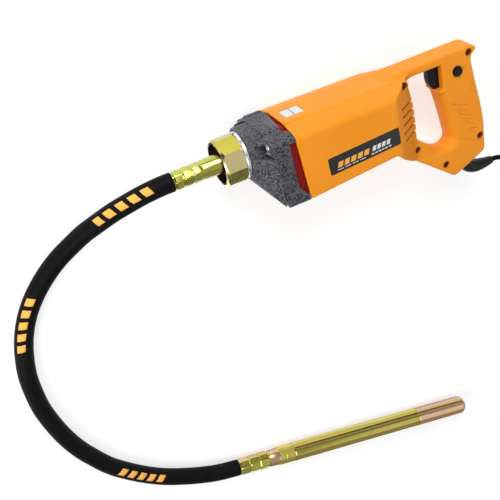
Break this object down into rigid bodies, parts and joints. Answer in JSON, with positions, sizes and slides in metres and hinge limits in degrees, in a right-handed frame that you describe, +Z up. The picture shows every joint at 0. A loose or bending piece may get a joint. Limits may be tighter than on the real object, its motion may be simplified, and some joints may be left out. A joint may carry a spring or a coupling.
{
  "type": "hand-held electric concrete vibrator",
  "caption": "Orange D-handled motor unit with a grey gear case that drives a steel vibrating poker through a black flexible hose, for compacting wet concrete.",
  "frame": {"origin": "on the flat of the motor unit's right side, which lies on the floor, 80 mm behind the joint between housing and gear case and 30 mm below the spindle's axis", "axes": "+X along the output spindle towards the hose, +Z up from the floor (the motor unit's own left side faces up), +Y towards the motor unit's underside and the poker"},
  "size_m": [1.0758, 0.8009, 0.132],
  "materials": {
    "orange_plastic": "moulded glass-filled nylon, satin",
    "black_plastic": "moulded, satin",
    "red_plastic": "moulded, gloss",
    "black_rubber": "smooth",
    "painted_casting": "dark grey hammertone paint on a die casting",
    "yellow_zinc": "turned steel, yellow passivated zinc plating",
    "bare_aluminium": "machined die casting",
    "bright_steel": "machined",
    "dark_steel": "hardened or blackened steel",
    "laminations": "stacked electrical steel sheet",
    "copper_windings": "enamelled copper wire, varnished",
    "brass_parts": "plain brass",
    "carbon": "pressed carbon",
    "label_black": "printed adhesive label",
    "label_grey": "printed adhesive label"
  },
  "bodies": {
    "machine": {"air_baffle": "red_plastic", "brush_holder_left": "brass_parts", "brush_holder_right": "brass_parts", "carbon_brush_left": "carbon", "carbon_brush_right": "carbon", "case_screw_1": "bright_steel", "case_screw_2": "bright_steel", "case_screw_3": "bright_steel", "case_screw_4": "bright_steel", "cord_clamp": "black_plastic", "cord_sleeve": "black_rubber", "drive_core": "dark_steel", "field_coil_left": "copper_windings", "field_coil_right": "copper_windings", "flexible_hose": "black_rubber", "gear_case": "painted_casting", "gear_plate": "bare_aluminium", "hose_ferrule": "yellow_zinc", "housing_left": "orange_plastic", "housing_right": "orange_plastic", "housing_screw_1": "dark_steel", "housing_screw_2": "dark_steel", "housing_screw_3": "dark_steel", "housing_screw_4": "dark_steel", "housing_screw_5": "dark_steel", "motor_bearing_front": "bright_steel", "motor_bearing_rear": "bright_steel", "plug_body": "black_rubber", "plug_pin_1": "bright_steel", "plug_pin_2": "bright_steel", "poker_bearing_front": "bright_steel", "poker_bearing_rear": "bright_steel", "poker_ferrule": "yellow_zinc", "poker_neck": "yellow_zinc", "poker_seal": "black_rubber", "poker_tip": "yellow_zinc", "poker_tube": "yellow_zinc", "power_cord": "black_rubber", "power_cord_coil": "black_rubber", "power_cord_tail": "black_rubber", "side_label": "label_black", "spindle_bearing_front": "bright_steel", "spindle_bearing_rear": "bright_steel", "spindle_collar": "bare_aluminium", "spindle_seal": "black_rubber", "stator_core": "laminations", "switch_body": "black_plastic", "top_badge": "label_grey"},
    "armature": {"armature_shaft": "bright_steel", "armature_core": "laminations", "commutator": "brass_parts", "cooling_fan": "black_plastic"},
    "spindle": {"output_spindle": "bright_steel", "drive_gear": "dark_steel", "core_end_machine": "bright_steel"},
    "poker_drive": {"poker_rotor": "dark_steel", "core_end_poker": "bright_steel"},
    "nut": {"union_nut": "yellow_zinc"},
    "trigger": {"trigger": "black_plastic"},
    "lock_button": {"lock_button": "black_plastic"}
  },
  "joints": [
    {"name": "armature_spin", "type": "hinge", "parent": "machine", "child": "armature", "pos_m": [0.08, -0.01, 0.066], "axis": [1, 0, 0], "continuous": true},
    {"name": "spindle_spin", "type": "hinge", "parent": "machine", "child": "spindle", "pos_m": [0.08, -0.03, 0.066], "axis": [1, 0, 0], "continuous": true},
    {"name": "poker_drive_spin", "type": "hinge", "parent": "machine", "child": "poker_drive", "pos_m": [0.27, 0.598, 0.018], "axis": [-0.9728, 0.2318, 0], "continuous": true},
    {"name": "union_nut_turn", "type": "hinge", "parent": "machine", "child": "nut", "pos_m": [0.1676, -0.03, 0.066], "axis": [1, 0, 0], "continuous": true},
    {"name": "trigger_squeeze", "type": "slide", "parent": "machine", "child": "trigger", "axis": [-1, 0, 0], "range_m": [0, 0.006], "stiffness_N_per_m": 800, "springref_m": -0.004},
    {"name": "lock_button_press", "type": "slide", "parent": "machine", "child": "lock_button", "axis": [0, 0, -1], "range_m": [0, 0.003], "stiffness_N_per_m": 800, "springref_m": -0.002}
  ],
  "couplings": [
    {"joint": "spindle_spin", "follows": "armature_spin", "ratio": -0.33333},
    {"joint": "poker_drive_spin", "follows": "armature_spin", "ratio": -0.33333}
  ]
}
